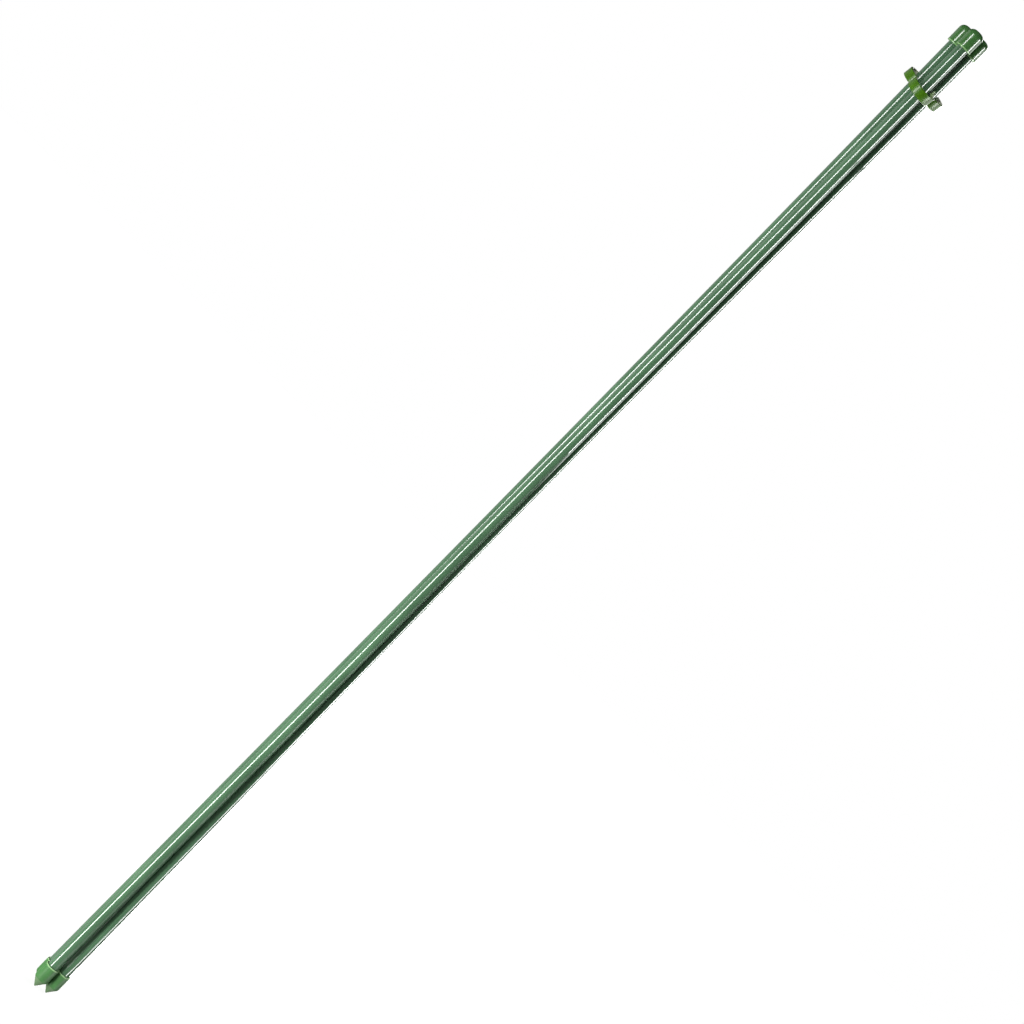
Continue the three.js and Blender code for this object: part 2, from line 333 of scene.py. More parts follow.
def place_in_mesh(piece, matrix):
    select_only(piece)
    piece.matrix_world = matrix
    bpy.ops.object.transform_apply(location=True, rotation=True, scale=True)


def copy_of(piece, name):
    select_only(piece)
    bpy.ops.object.duplicate(linked=False)
    twin = bpy.context.object
    twin.name = name
    twin.data.name = name
    return twin


def pick(kind, test):
    """In edit mode, selects only the vertices, edges or faces whose corners all pass the test"""
    bpy.ops.mesh.select_mode(type=kind)
    bpy.ops.mesh.select_all(action="DESELECT")
    mesh = bpy.context.edit_object.data
    form = bmesh.from_edit_mesh(mesh)
    parts = {"VERT": form.verts, "EDGE": form.edges, "FACE": form.faces}[kind]
    found = 0
    for part in parts:
        corners = [part.co] if kind == "VERT" else [corner.co for corner in part.verts]
        if all(test(corner) for corner in corners):
            part.select_set(True)
            found += 1
    form.select_flush_mode()
    bmesh.update_edit_mesh(mesh)
    if not found:
        raise RuntimeError("no part of the mesh lies where it is looked for")


def reach(corner):
    """Distance of a corner from the Z axis"""
    return math.hypot(corner.x, corner.y)


def near(value, target):
    return abs(value - target) < TOUCH


def extrude(offset):
    bpy.ops.mesh.extrude_region_move(TRANSFORM_OT_translate={"value": offset})


def resize(scale, centre):
    bpy.ops.transform.resize(value=scale, center_override=centre)


def cut_level(height):
    """Adds a ring of edges all round the piece at one height"""
    bpy.ops.mesh.select_all(action="SELECT")
    bpy.ops.mesh.bisect(plane_co=(0, 0, height), plane_no=(0, 0, 1))


def bevel(width, steps):
    bpy.ops.mesh.bevel(offset=width, segments=steps, profile=0.5, affect="EDGES", clamp_overlap=True)


def clean_normals():
    bpy.ops.mesh.select_all(action="SELECT")
    bpy.ops.mesh.remove_doubles(threshold=TOUCH / 10)
    bpy.ops.mesh.normals_make_consistent(inside=False)


def smooth(piece):
    select_only(piece)
    bpy.ops.object.shade_smooth_by_angle(angle=SMOOTH_ANGLE)


def apply_modifier(piece, kind, **values):
    select_only(piece)
    modifier = piece.modifiers.new(kind.title(), kind)
    for name, value in values.items():
        setattr(modifier, name, value)
    bpy.ops.object.modifier_apply(modifier=modifier.name)


def combine(piece, other, operation):
    """Joins another solid to a piece, or cuts it away, and removes the other"""
    apply_modifier(piece, "BOOLEAN", object=other, operation=operation, solver="MANIFOLD")
    bpy.data.objects.remove(other)


def clear_slivers(piece):
    """Merges the tiny edges and folded faces that a joint between curved walls leaves"""
    select_only(piece)
    bpy.ops.object.mode_set(mode="EDIT")
    bpy.ops.mesh.select_all(action="SELECT")
    bpy.ops.mesh.remove_doubles(threshold=2 * TOUCH)
    bpy.ops.mesh.dissolve_degenerate(threshold=TOUCH)
    bpy.ops.object.mode_set(mode="OBJECT")


def keep_own_height(piece):
    """Notes each corner's height in the piece's own upright place, for its material"""
    heights = piece.data.attributes.new(OWN_HEIGHT, "FLOAT", "POINT")
    for corner, entry in zip(piece.data.vertices, heights.data):
        entry.value = corner.co.z


def finish_piece(piece, body, node, material):
    piece.data.materials.clear()
    piece.data.materials.append(material)
    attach(piece, body)
    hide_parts(node)


def model_stake(layout, sizes, side):
    """Extrudes a round tube along the stake's centre line, then gives it the coating's wall"""
    start = layout.axis_point(0, side)
    bpy.ops.mesh.primitive_circle_add(
        vertices=ROUND_SIDES, radius=layout.stake_radius, fill_type="NOTHING", location=start
    )
    stake = added(f"{side}_stake")
    bpy.ops.object.mode_set(mode="EDIT")
    bpy.ops.mesh.select_all(action="SELECT")
    before = start
    for step in range(1, STAKE_STEPS + 1):
        after = layout.axis_point(step / STAKE_STEPS, side)
        extrude(after - before)
        before = after
    clean_normals()
    bpy.ops.object.mode_set(mode="OBJECT")
    apply_modifier(stake, "SOLIDIFY", thickness=sizes.coating_wall, offset=-1, use_even_offset=True)
    apply_modifier(stake, "BEVEL", width=COATING_EDGE, segments=EASED_STEPS, limit_method="ANGLE")
    smooth(stake)
    return stake


def model_cap(layout, sizes):
    """Cap with its bore's ceiling at height 0: domed crown, soft bead at the mouth, blind bore"""
    mouth = -sizes.cap_bore_depth
    bpy.ops.mesh.primitive_cylinder_add(
        vertices=ROUND_SIDES,
        radius=layout.cap_radius,
        depth=sizes.cap_length,
        location=(0, 0, (layout.cap_crown + mouth) / 2),
    )
    cap = added("cap")
    bpy.ops.object.mode_set(mode="EDIT")
    pick("EDGE", lambda corner: near(corner.z, layout.cap_crown))
    bevel(sizes.cap_shoulder, CAP_ROUND_STEPS)
    bead_top = mouth + CAP_BEAD_HEIGHT
    cut_level(bead_top)
    cut_level(bead_top + 2 * sizes.cap_bead)
    for share in CAP_SIDE_RINGS:
        cut_level(bead_top + share * (layout.cap_crown - sizes.cap_shoulder - bead_top))
    swell = layout.cap_mouth / layout.cap_radius
    pick("VERT", lambda corner: corner.z < bead_top + TOUCH)
    resize((swell, swell, 1), (0, 0, mouth))
    pick("FACE", lambda corner: near(corner.z, mouth))
    bpy.ops.mesh.inset(thickness=layout.cap_mouth - layout.cap_bore)
    extrude((0, 0, sizes.cap_bore_depth))
    pick("EDGE", lambda corner: near(corner.z, mouth) and reach(corner) > layout.cap_radius - TOUCH)
    bevel(CAP_LIP, ROUND_STEPS)
    pick("EDGE", lambda corner: near(corner.z, mouth) and reach(corner) < layout.cap_bore + TOUCH)
    bevel(CAP_LIP_INNER, EASED_STEPS)
    clean_normals()
    bpy.ops.object.mode_set(mode="OBJECT")
    smooth(cap)
    keep_own_height(cap)
    return cap


def model_tip(layout, sizes):
    """Ground tip with its cup's floor at height 0: blunt cone below, thin-walled cup above, ribs inside"""
    cone_base = -sizes.tip_floor
    point = cone_base - sizes.tip_cone
    mouth = cone_base + sizes.tip_body
    bpy.ops.mesh.primitive_cylinder_add(
        vertices=ROUND_SIDES,
        radius=layout.tip_radius,
        depth=sizes.tip_body,
        location=(0, 0, (mouth + cone_base) / 2),
    )
    tip = added("ground_tip")
    bpy.ops.object.mode_set(mode="EDIT")
    pick("FACE", lambda corner: near(corner.z, cone_base))
    extrude((0, 0, -(sizes.tip_cone - TIP_POINT_HEIGHT)))
    blunt = TIP_POINT_RADIUS / layout.tip_radius
    resize((blunt, blunt, 1), (0, 0, point))
    extrude((0, 0, -TIP_POINT_HEIGHT))
    bpy.ops.mesh.merge(type="CENTER")
    pick("EDGE", lambda corner: near(corner.z, cone_base))
    bevel(TIP_SHOULDER, ROUND_STEPS)
    pick("FACE", lambda corner: near(corner.z, mouth))
    bpy.ops.mesh.inset(thickness=sizes.tip_wall)
    extrude((0, 0, -mouth))
    pick("EDGE", lambda corner: near(corner.z, mouth))
    bevel(TIP_LIP, SMALL_ROUND_STEPS)
    clean_normals()
    bpy.ops.object.mode_set(mode="OBJECT")
    for rib in range(GRIP_RIBS):
        combine(tip, model_grip_rib(layout, mouth, rib), "UNION")
    smooth(tip)
    keep_own_height(tip)
    return tip


def model_grip_rib(layout, mouth, count):
    """One upright rib that grips the stake inside a ground tip, with its inner edges eased"""
    inner = layout.stake_radius + GRIP_RIB_CLEARANCE
    outer = layout.tip_bore + GRIP_RIB_SUNK
    height = mouth - GRIP_RIB_SETBACK
    bpy.ops.mesh.primitive_cube_add(size=1, location=((inner + outer) / 2, 0, height / 2))
    bpy.context.object.scale = (outer - inner, GRIP_RIB_WIDTH, height)
    rib = added("grip_rib")
    bpy.ops.object.mode_set(mode="EDIT")
    pick("EDGE", lambda corner: near(corner.x, inner))
    bevel(GRIP_RIB_EDGE, EASED_STEPS)
    bpy.ops.object.mode_set(mode="OBJECT")
    place_in_mesh(rib, Matrix.Rotation(count / GRIP_RIBS * math.tau, 4, "Z"))
    return rib


def lobe_centres(layout):
    turns = [math.radians(degrees) for degrees in LEG_ANGLES.values()]
    return [Vector((math.cos(turn), math.sin(turn), 0)) * layout.lobe_circle for turn in turns]


def model_lobe_round(radius, height):
    """Solid round of the collar with rounded rims"""
    bpy.ops.mesh.primitive_cylinder_add(vertices=LOBE_SIDES, radius=radius, depth=height)
    lobe = added("collar_band")
    bpy.ops.object.mode_set(mode="EDIT")
    for rim in (height / 2, -height / 2):
        pick("EDGE", lambda corner: near(corner.z, rim))
        bevel(COLLAR_EDGE, ROUND_STEPS)
    bpy.ops.object.mode_set(mode="OBJECT")
    return lobe


def model_lobe_bore(radius, height):
    """Cutter for a loop of the collar, flared at both ends so that the cut has rounded rims"""
    bpy.ops.mesh.primitive_cylinder_add(vertices=LOBE_SIDES, radius=radius, depth=height - 2 * COLLAR_EDGE)
    bore = added("collar_bore")
    bpy.ops.object.mode_set(mode="EDIT")
    for end in (1, -1):
        level = end * (height / 2 - COLLAR_EDGE)
        pick("FACE", lambda corner: near(corner.z, level))
        rise = 0.0
        wide = radius
        for step in range(1, ROUND_STEPS + 1):
            turn = math.pi / 2 * step / ROUND_STEPS
            next_rise = (COLLAR_EDGE + TOUCH) * math.sin(turn)
            next_wide = radius + COLLAR_EDGE * (1 - math.cos(turn))
            extrude((0, 0, end * (next_rise - rise)))
            resize((next_wide / wide, next_wide / wide, 1), (0, 0, level))
            rise = next_rise
            wide = next_wide
        extrude((0, 0, end * COLLAR_EDGE))
    clean_normals()
    bpy.ops.object.mode_set(mode="OBJECT")
    return bore


def fused_lobes(pattern, layout):
    """Sets a copy of a round on each stake's side of the collar and joins the three"""
    lobes = []
    for place in lobe_centres(layout):
        lobe = copy_of(pattern, pattern.name)
        place_in_mesh(lobe, Matrix.Translation(place))
        lobes.append(lobe)
    bpy.data.objects.remove(pattern)
    for lobe in lobes[1:]:
        combine(lobes[0], lobe, "UNION")
    return lobes[0]


def ridge_reach(layout, radius):
    """Distance from the collar's centre to the ridge between two rounds of its wall"""
    sideways = layout.lobe_circle * math.sin(math.pi / 3)
    return layout.lobe_circle * math.cos(math.pi / 3) + math.sqrt(radius ** 2 - sideways ** 2)


def model_tongue(layout, sizes):
    """Pointed tongue that rises from the ridge between two loops and leans inwards"""
    rim = sizes.collar_height / 2
    ridge = ridge_reach(layout, layout.lobe_bore)
    root = ridge + TONGUE_SUNK
    low = rim - TONGUE_ROOT
    high = rim - COLLAR_EDGE
    bpy.ops.mesh.primitive_cube_add(size=1, location=((ridge + root) / 2, 0, (low + high) / 2))
    bpy.context.object.scale = (root - ridge, TONGUE_THICKNESS, high - low)
    tongue = added("tongue")
    bpy.ops.object.mode_set(mode="EDIT")
    pick("EDGE", lambda corner: near(corner.z, high) and near(corner.x, ridge))
    bpy.ops.transform.translate(value=(-TONGUE_REACH, 0, 0))
    pick("FACE", lambda corner: near(corner.z, high))
    extrude((0, 0, TONGUE_HEIGHT + COLLAR_EDGE))
    top = rim + TONGUE_HEIGHT
    narrow = TONGUE_POINT / (root - ridge + TONGUE_REACH)
    resize((narrow, TONGUE_POINT / TONGUE_THICKNESS, 1), (ridge - TONGUE_LEAN, 0, top))
    pick("EDGE", lambda corner: corner.z > high - TOUCH)
    bevel(TONGUE_EDGE, SMALL_ROUND_STEPS)
    clean_normals()
    bpy.ops.object.mode_set(mode="OBJECT")
    place_in_mesh(tongue, Matrix.Rotation(math.radians(TONGUE_ANGLE), 4, "Z"))
    return tongue


def keep_painted_sheen(collar, layout):
    """Notes which corners lie on the loops' inner walls, for a pale reflection painted there in the material
    """
    sheen_attribute = collar.data.attributes.new(OWN_SHEEN, "FLOAT", "POINT")
    centres = [centre.xy for centre in lobe_centres(layout)]
    for corner, entry in zip(collar.data.vertices, sheen_attribute.data):
        outside = min((corner.co.xy - centre).length for centre in centres) - layout.lobe_bore
        if outside < -2 * TOUCH:
            entry.value = TONGUE_SHEEN
        elif outside < COLLAR_EDGE + TOUCH:
            entry.value = 1.0


def model_collar(layout, sizes):
    """Three-lobed band with rounded rims, and one tongue"""
    collar = fused_lobes(model_lobe_round(layout.lobe_radius, sizes.collar_height), layout)
    bores = fused_lobes(model_lobe_bore(layout.lobe_bore, sizes.collar_height), layout)
    combine(collar, bores, "DIFFERENCE")
    combine(collar, model_tongue(layout, sizes), "UNION")
    clear_slivers(collar)
    keep_painted_sheen(collar, layout)
    tilt_front = Matrix.Rotation(sizes.collar_tilt_front, 4, "X")
    tilt_side = Matrix.Rotation(sizes.collar_tilt_side, 4, "Y")
    shift = Vector((sizes.collar_shift[0], sizes.collar_shift[1], layout.collar_level))
    place_in_mesh(collar, Matrix.Translation(shift) @ (tilt_front @ tilt_side))
    smooth(collar)
    return collar


def new_node(tree, kind, **values):
    """Adds a node; values name its input sockets, with spaces as underscores, or its own settings"""
    node = tree.nodes.new(kind)
    for name, value in values.items():
        if hasattr(node, name):
            setattr(node, name, value)
        else:
            node.inputs[name.replace("_", " ")].default_value = value
    return node


def noise(tree, pattern):
    """Noise value over the object's own coordinates"""
    place = tree.nodes.new("ShaderNodeTexCoord").outputs["Object"]
    mapping = new_node(tree, "ShaderNodeMapping", Scale=pattern.stretch)
    texture = new_node(
        tree, "ShaderNodeTexNoise", Scale=pattern.scale, Detail=pattern.detail, Roughness=PATTERN_ROUGHNESS
    )
    tree.links.new(place, mapping.inputs["Vector"])
    tree.links.new(mapping.outputs["Vector"], texture.inputs["Vector"])
    return texture.outputs["Fac"]


def ramp(tree, value, low, high, to_low=0.0, to_high=1.0):
    """Maps a value from low..high to to_low..to_high, clamped"""
    node = new_node(tree, "ShaderNodeMapRange", interpolation_type="SMOOTHSTEP")
    node.inputs["From Min"].default_value = low
    node.inputs["From Max"].default_value = high
    node.inputs["To Min"].default_value = to_low
    node.inputs["To Max"].default_value = to_high
    tree.links.new(value, node.inputs["Value"])
    return node.outputs["Result"]


def blend_colours(tree, mask, first, second):
    """Mixes two colours, each a linked socket or a plain colour, by a mask"""
    node = new_node(tree, "ShaderNodeMix", data_type="RGBA")
    tree.links.new(mask, node.inputs["Factor"])
    for socket, colour in (("A", first), ("B", second)):
        target = [entry for entry in node.inputs if entry.name == socket and entry.type == "RGBA"][0]
        if isinstance(colour, bpy.types.NodeSocket):
            tree.links.new(colour, target)
        else:
            target.default_value = (*colour, 1)
    return [entry for entry in node.outputs if entry.type == "RGBA"][0]


def shared_group(name, inputs, outputs, fill):
    """A shader node group with float sockets, made once and filled by a function"""
    if name in bpy.data.node_groups:
        return bpy.data.node_groups[name]
    group = bpy.data.node_groups.new(name, "ShaderNodeTree")
    for way, labels in (("INPUT", inputs), ("OUTPUT", outputs)):
        for label in labels:
            group.interface.new_socket(label, in_out=way, socket_type="NodeSocketFloat")
    given = group.nodes.new("NodeGroupInput").outputs
    sink = group.nodes.new("NodeGroupOutput").inputs
    for label, value in zip(outputs, fill(group, given)):
        group.links.new(value, sink[label])
    return group


def drawn_group():
    """Lengthwise drawing lines and soft cloudiness, for extruded plastic and drawn steel"""

    def fill(tree, given):
        return noise(tree, DRAWN_LINES), noise(tree, DRAWN_CLOUDS)

    return shared_group("Drawn surface", (), ("Lines", "Clouds"), fill)


def moulded_group():
    """Soft cloudiness, a fine spark-eroded grain and the height on the piece, for moulded plastic"""

    def fill(tree, given):
        height = new_node(tree, "ShaderNodeAttribute", attribute_name=OWN_HEIGHT)
        return noise(tree, MOULDED_CLOUDS), noise(tree, MOULDED_GRAIN), height.outputs["Fac"]

    return shared_group("Moulded plastic", (), ("Clouds", "Grain", "Height"), fill)


def gloss_group():
    """Roughness that wanders between two values with a pattern, for every surface"""

    def fill(tree, given):
        roughness = ramp(tree, given["Pattern"], *PATTERN_RANGE)
        tree.links.new(given["Smoothest"], roughness.node.inputs["To Min"])
        tree.links.new(given["Roughest"], roughness.node.inputs["To Max"])
        return (roughness,)

    return shared_group("Uneven gloss", ("Pattern", "Smoothest", "Roughest"), ("Roughness",), fill)


def new_material(name, group):
    """A material with a Principled shader and one shared group, both ready to be linked"""
    material = bpy.data.materials.new(name)
    material.use_nodes = True
    tree = material.node_tree
    shader = tree.nodes["Principled BSDF"]
    source = new_node(tree, "ShaderNodeGroup", node_tree=group)
    return material, tree, shader, source.outputs


def shaded(colour, share):
    return tuple(share * channel for channel in colour)


def finish_surface(tree, shader, colour, unevenness, relief, finish):
    """Links a surface's colour, its roughness by an uneven pattern and its fine bump"""
    tree.links.new(colour, shader.inputs["Base Color"])
    gloss = new_node(tree, "ShaderNodeGroup", node_tree=gloss_group())
    gloss.inputs["Smoothest"].default_value = finish.smoothest
    gloss.inputs["Roughest"].default_value = finish.roughest
    tree.links.new(unevenness, gloss.inputs["Pattern"])
    tree.links.new(gloss.outputs["Roughness"], shader.inputs["Roughness"])
    shader.inputs["Specular IOR Level"].default_value = finish.specular
    bump = new_node(tree, "ShaderNodeBump", Strength=finish.bump, Distance=finish.bump_depth)
    tree.links.new(relief, bump.inputs["Height"])
    tree.links.new(bump.outputs["Normal"], shader.inputs["Normal"])


def coating_material(colours):
    """Glossy extruded polyethylene with fine lines along the stake"""
    material, tree, shader, source = new_material("Stake coating", drawn_group())
    streaks = ramp(tree, source["Lines"], *COATING_STREAKS)
    body = blend_colours(tree, streaks, colours.coating, colours.coating_pale)
    clouds = ramp(tree, source["Clouds"], *COATING_CLOUDS)
    colour = blend_colours(tree, clouds, shaded(colours.coating, COATING_SHADE), body)
    finish_surface(tree, shader, colour, source["Clouds"], source["Lines"], COATING_FINISH)
    return material


def cap_material(colours, sizes):
    """Glossy moulded polyethylene, with a highlight painted on its lip"""
    material, tree, shader, source = new_material("Cap plastic", moulded_group())
    clouds = ramp(tree, source["Clouds"], *PATTERN_RANGE)
    body = blend_colours(tree, clouds, shaded(colours.cap, CAP_SHADE), colours.cap)
    fade_low, fade_high = (share * CAP_BEAD_HEIGHT - sizes.cap_bore_depth for share in CAP_LIP_HIGHLIGHT_FADE)
    # The lip gets a painted highlight
    lip = ramp(tree, source["Height"], fade_low, fade_high, 1.0, 0.0)
    colour = blend_colours(tree, lip, body, colours.cap_lip_highlight)
    finish_surface(tree, shader, colour, source["Clouds"], source["Grain"], CAP_FINISH)
    return material


def tip_material(colours, sizes):
    """Satin moulded polyethylene with a highlight painted on its thin rim, and a greyer cone"""
    material, tree, shader, source = new_material("Tip plastic", moulded_group())
    cone_base = -sizes.tip_floor
    mouth = cone_base + sizes.tip_body
    clouds = ramp(tree, source["Clouds"], *PATTERN_RANGE)
    body = blend_colours(tree, clouds, shaded(colours.tip, TIP_SHADE), colours.tip)
    cone_low, cone_high = (cone_base + height for height in TIP_CONE_FADE)
    cone = ramp(tree, source["Height"], cone_low, cone_high, 1.0, 0.0)
    lower = blend_colours(tree, cone, body, colours.tip_cone)
    rim_low, rim_high = (mouth + height for height in TIP_RIM_HIGHLIGHT_FADE)
    # The rim gets a painted highlight
    rim = ramp(tree, source["Height"], rim_low, rim_high)
    colour = blend_colours(tree, rim, lower, colours.tip_rim_highlight)
    finish_surface(tree, shader, colour, source["Grain"], source["Grain"], TIP_FINISH)
    return material


def collar_material(colours):
    """Moulded plastic, a little paler in soft clouds, with a pale reflection painted inside its loops"""
    material, tree, shader, source = new_material("Collar plastic", moulded_group())
    clouds = ramp(tree, source["Clouds"], *COLLAR_CLOUDS, 0.0, COLLAR_CLOUD_SHARE)
    body = blend_colours(tree, clouds, colours.collar, colours.collar_pale)
    # Pale painted reflection on the loops' inner walls, by the attribute
    sheen_attribute = new_node(tree, "ShaderNodeAttribute", attribute_name=OWN_SHEEN)
    sheen_mask = ramp(tree, sheen_attribute.outputs["Fac"], *COLLAR_SHEEN_RANGE)
    colour = blend_colours(tree, sheen_mask, body, colours.collar_painted_sheen)
    finish_surface(tree, shader, colour, source["Grain"], source["Grain"], COLLAR_FINISH)
    return material


def steel_material(colours):
    """Cold-drawn steel tube with lines along its length"""
    material, tree, shader, source = new_material("Drawn steel", drawn_group())
    lines = ramp(tree, source["Lines"], *PATTERN_RANGE)
    colour = blend_colours(tree, lines, shaded(colours.steel, STEEL_SHADE), colours.steel)
    finish_surface(tree, shader, colour, source["Clouds"], source["Lines"], STEEL_FINISH)
    shader.inputs["Metallic"].default_value = 1.0
    return material


class PLANTSUPPORT_OT_stakes(bpy.types.Operator):
    """Model the three coated stakes along their bowed and twisted centre lines"""

    bl_idname = "plant_support.stakes"
    bl_label = "Model stakes"

    def execute(self, context):
        sizes = context.scene.plant_support_sizes
        layout = Layout(sizes)
        material = coating_material(context.scene.plant_support_colours)
        for side in LEG_ANGLES:
            stake = model_stake(layout, sizes, side)
            finish_piece(stake, f"{side}_leg", f"{side}_coating", material)
        return {"FINISHED"}


class PLANTSUPPORT_OT_caps(bpy.types.Operator):
    """Model one domed cap and set a copy on the head of each stake"""

    bl_idname = "plant_support.caps"
    bl_label = "Model caps"

    def execute(self, context):
        sizes = context.scene.plant_support_sizes
        layout = Layout(sizes)
        material = cap_material(context.scene.plant_support_colours, sizes)
        pattern = model_cap(layout, sizes)
        for side in LEG_ANGLES:
            cap = copy_of(pattern, f"{side}_end_cap")
            layout.seat_on_stake(cap, 1, side, sizes.seat_gap)
            finish_piece(cap, f"{side}_leg", f"{side}_cap", material)
        bpy.data.objects.remove(pattern)
        return {"FINISHED"}


class PLANTSUPPORT_OT_tips(bpy.types.Operator):
    """Model one pointed ground tip and set a copy on the foot of each stake"""

    bl_idname = "plant_support.tips"
    bl_label = "Model ground tips"

    def execute(self, context):
        sizes = context.scene.plant_support_sizes
        layout = Layout(sizes)
        material = tip_material(context.scene.plant_support_colours, sizes)
        pattern = model_tip(layout, sizes)
        for side in LEG_ANGLES:
            tip = copy_of(pattern, f"{side}_point")
            layout.seat_on_stake(tip, 0, side, -sizes.seat_gap)
            finish_piece(tip, f"{side}_leg", f"{side}_ground_tip", material)
        bpy.data.objects.remove(pattern)
        return {"FINISHED"}


class PLANTSUPPORT_OT_collar(bpy.types.Operator):
    """Model the three-lobed collar where it hangs tilted on the stakes"""

    bl_idname = "plant_support.collar"
    bl_label = "Model collar"

    def execute(self, context):
        sizes = context.scene.plant_support_sizes
        material = collar_material(context.scene.plant_support_colours)
        collar = model_collar(Layout(sizes), sizes)
        collar.name = "lobed_collar"
        finish_piece(collar, "collar", "collar", material)
        return {"FINISHED"}


class PLANTSUPPORT_OT_cores(bpy.types.Operator):
    """Give the steel cores inside the stakes their drawn-steel finish"""

    bl_idname = "plant_support.cores"
    bl_label = "Finish steel cores"

    def execute(self, context):
        material = steel_material(context.scene.plant_support_colours)
        for side in LEG_ANGLES:
            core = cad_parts[f"{side}_steel_core"]
            for entry in core.material_slots:
                entry.material = material
        return {"FINISHED"}


def add_camera(scene):
    bpy.ops.object.camera_add()
    camera = bpy.context.object
    camera.name = "camera"
    camera.data.lens = CAMERA_LENS
    camera.data.sensor_width = CAMERA_SENSOR
    forward = (CAMERA_AIM - CAMERA_EYE).normalized()
    level = forward.cross(Vector((0, 0, 1))).normalized()
    above = level.cross(forward)
    right = level * math.cos(CAMERA_ROLL) + above * math.sin(CAMERA_ROLL)
    up = above * math.cos(CAMERA_ROLL) - level * math.sin(CAMERA_ROLL)
    turn = Matrix((right, up, -forward)).transposed().to_4x4()
    camera.matrix_world = Matrix.Translation(CAMERA_EYE) @ turn
    scene.camera = camera


def stand_at(bearing, distance, height):
    turn = math.radians(bearing)
    return Vector((distance * math.sin(turn), -distance * math.cos(turn), height))


def add_lamp(name, values):
    """A long lamp that faces the stakes"""
    foot = stand_at(*values.foot)
    head = stand_at(*values.head)
    along = (head - foot).normalized()
    middle = (foot + head) / 2
    across = along.cross(Vector((middle.x, middle.y, 0))).normalized()
    outward = across.cross(along)
    length = (head - foot).length
    bpy.ops.object.light_add(type="AREA")
    lamp = bpy.context.object
    lamp.name = name
    lamp.data.shape = "RECTANGLE"
    lamp.data.size = values.width
    lamp.data.size_y = length
    lamp.data.energy = values.radiance * math.pi * values.width * length
    turn = Matrix((across, along, outward)).transposed().to_4x4()
    lamp.matrix_world = Matrix.Translation(middle) @ turn
    lamp.visible_camera = False
    lamp.visible_diffuse = "diffuse" in values.kinds
    lamp.visible_glossy = "glossy" in values.kinds


def background_rays(tree):
    """1 on camera, glossy and transmission rays, else 0"""
    path = tree.nodes.new("ShaderNodeLightPath")
    value = path.outputs["Is Camera Ray"]
    for label in ("Is Glossy Ray", "Is Transmission Ray"):
        larger = new_node(tree, "ShaderNodeMath", operation="MAXIMUM")
        tree.links.new(value, larger.inputs[0])
        tree.links.new(path.outputs[label], larger.inputs[1])
        value = larger.outputs["Value"]
    return value


def set_world(scene):
    world = bpy.data.worlds.new("White studio")
    world.use_nodes = True
    tree = world.node_tree
    surface = tree.nodes["Background"]
    surface.inputs["Color"].default_value = (1, 1, 1, 1)
    tree.links.new(ramp(tree, background_rays(tree), 0, 1, AMBIENT, 1.0), surface.inputs["Strength"])
    scene.world = world


def floor_material():
    """White floor that fades into the backdrop and keeps a soft shadow under the object"""
    material = bpy.data.materials.new("White floor")
    material.use_nodes = True
    tree = material.node_tree
    tree.nodes.remove(tree.nodes["Principled BSDF"])
    place = tree.nodes.new("ShaderNodeTexCoord").outputs["Object"]
    distance = new_node(tree, "ShaderNodeVectorMath", operation="LENGTH")
    tree.links.new(place, distance.inputs[0])
    glow = ramp(tree, distance.outputs["Value"], *FLOOR_FADE, FLOOR_GLOW, 1.0)
    visible = new_node(tree, "ShaderNodeMath", operation="MULTIPLY")
    tree.links.new(glow, visible.inputs[0])
    tree.links.new(background_rays(tree), visible.inputs[1])
    emission = new_node(tree, "ShaderNodeEmission", Color=(1, 1, 1, 1))
    tree.links.new(visible.outputs["Value"], emission.inputs["Strength"])
    diffuse = new_node(tree, "ShaderNodeBsdfDiffuse", Color=(FLOOR_TINT, FLOOR_TINT, FLOOR_TINT, 1))
    both = tree.nodes.new("ShaderNodeAddShader")
    tree.links.new(emission.outputs["Emission"], both.inputs[0])
    tree.links.new(diffuse.outputs["BSDF"], both.inputs[1])
    tree.links.new(both.outputs["Shader"], tree.nodes["Material Output"].inputs["Surface"])
    return material


def add_floor():
    bpy.ops.mesh.primitive_plane_add(size=FLOOR_SIZE, location=(0, 0, FLOOR_LEVEL))
    floor = added("floor")
    floor.data.materials.append(floor_material())
    floor.visible_glossy = False
    floor.visible_shadow = False


def dark_material():
    material = bpy.data.materials.new("Dark screen")
    material.use_nodes = True
    shader = material.node_tree.nodes["Principled BSDF"]
    shader.inputs["Base Color"].default_value = (DARK_TINT, DARK_TINT, DARK_TINT, 1)
    shader.inputs["Roughness"].default_value = DARK_ROUGHNESS
    return material


def show_in_gloss_only(screen, material):
    """Makes a stage piece that is seen in glossy reflections and nowhere else"""
    screen.data.materials.append(material)
    screen.visible_camera = False
    screen.visible_diffuse = False
    screen.visible_shadow = False


def add_flag(material):
    """A black flag that keeps the right-hand lamps off the lower half of the front stake"""
    bpy.ops.mesh.primitive_plane_add(size=1, location=(FLAG_PLACE, 0, 0), rotation=(0, math.pi / 2, 0))
    flag = added("black_flag")
    for corner in flag.data.vertices:
        corner.co.y = FLAG_NEAR if corner.co.y < 0 else FLAG_EDGE
        corner.co.z = FLAG_LOW if corner.co.z < 0 else FLAG_HIGH
    bpy.ops.object.mode_set(mode="EDIT")
    cut_level(FLAG_TAPER_LEVEL)
    pick("VERT", lambda corner: near(corner.z, FLAG_HIGH) and near(corner.y, FLAG_EDGE))
    bpy.ops.transform.translate(value=(0, FLAG_TAPER_EDGE - FLAG_EDGE, 0))
    bpy.ops.object.mode_set(mode="OBJECT")
    show_in_gloss_only(flag, material)


def add_plate(material):
    """A black plate that keeps the right strip off the tilted collar"""
    bpy.ops.mesh.primitive_plane_add(size=1, location=PLATE_PLACE)
    bpy.context.object.scale = PLATE_SIZE
    show_in_gloss_only(added("black_plate"), material)


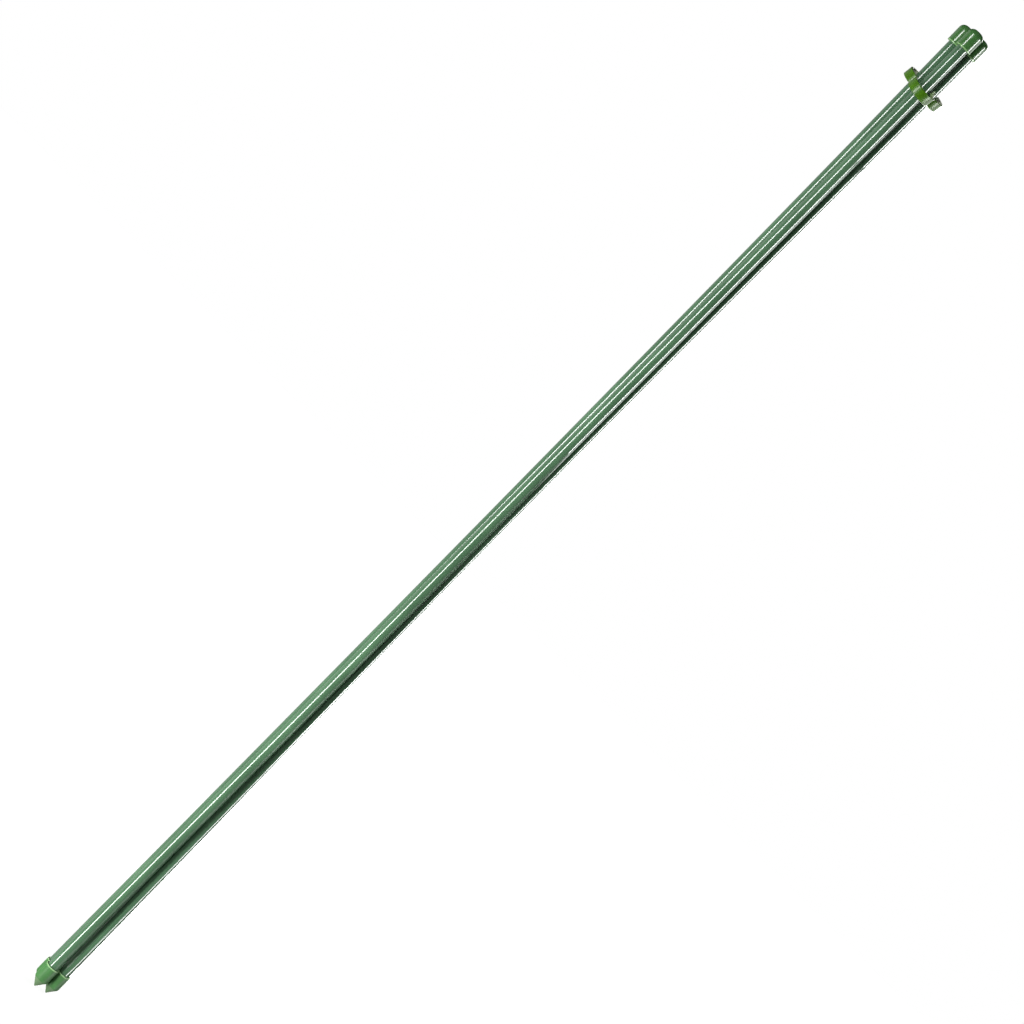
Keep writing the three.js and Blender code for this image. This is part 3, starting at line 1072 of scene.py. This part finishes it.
def add_dark_screen(material):
    """A dark screen round the object, so that the glossy stakes mirror the lamps and little else"""
    bpy.ops.mesh.primitive_cylinder_add(
        vertices=ROUND_SIDES,
        radius=SCREEN_RADIUS,
        depth=SCREEN_HIGH - SCREEN_LOW,
        end_fill_type="NGON",
        location=(0, 0, (SCREEN_HIGH + SCREEN_LOW) / 2),
    )
    show_in_gloss_only(added("dark_screen"), material)


class PLANTSUPPORT_OT_stage(bpy.types.Operator):
    """Set the camera, the lamps, the white floor and surroundings, and the dark pieces for reflections"""

    bl_idname = "plant_support.stage"
    bl_label = "Set the stage"

    def execute(self, context):
        scene = context.scene
        scene.view_settings.view_transform = "Standard"
        add_camera(scene)
        for name, values in LAMPS.items():
            add_lamp(name, values)
        set_world(scene)
        add_floor()
        dark = dark_material()
        add_flag(dark)
        add_plate(dark)
        add_dark_screen(dark)
        return {"FINISHED"}


OPERATORS = (
    PLANTSUPPORT_OT_stakes,
    PLANTSUPPORT_OT_caps,
    PLANTSUPPORT_OT_tips,
    PLANTSUPPORT_OT_collar,
    PLANTSUPPORT_OT_cores,
    PLANTSUPPORT_OT_stage,
)


class PLANTSUPPORT_PT_sidebar(bpy.types.Panel):
    """Buttons for the pieces and the stage"""

    bl_label = "Plant support"
    bl_idname = "PLANTSUPPORT_PT_sidebar"
    bl_space_type = "VIEW_3D"
    bl_region_type = "UI"
    bl_category = "Plant support"

    def draw(self, context):
        column = self.layout.column()
        for operator in OPERATORS:
            column.operator(operator.bl_idname)
        for group in (context.scene.plant_support_sizes, context.scene.plant_support_colours):
            box = self.layout.box()
            for name in group.__annotations__:
                box.prop(group, name)


CLASSES = (PlantSupportSizes, PlantSupportColours, *OPERATORS, PLANTSUPPORT_PT_sidebar)


def register():
    for entry in CLASSES:
        bpy.utils.register_class(entry)
    bpy.types.Scene.plant_support_sizes = PointerProperty(type=PlantSupportSizes)
    bpy.types.Scene.plant_support_colours = PointerProperty(type=PlantSupportColours)


def unregister():
    del bpy.types.Scene.plant_support_colours
    del bpy.types.Scene.plant_support_sizes
    for entry in reversed(CLASSES):
        bpy.utils.unregister_class(entry)


def main():
    register()
    bpy.ops.plant_support.stakes()
    bpy.ops.plant_support.caps()
    bpy.ops.plant_support.tips()
    bpy.ops.plant_support.collar()
    bpy.ops.plant_support.cores()
    bpy.ops.plant_support.stage()


if __name__ == "__main__":
    main()
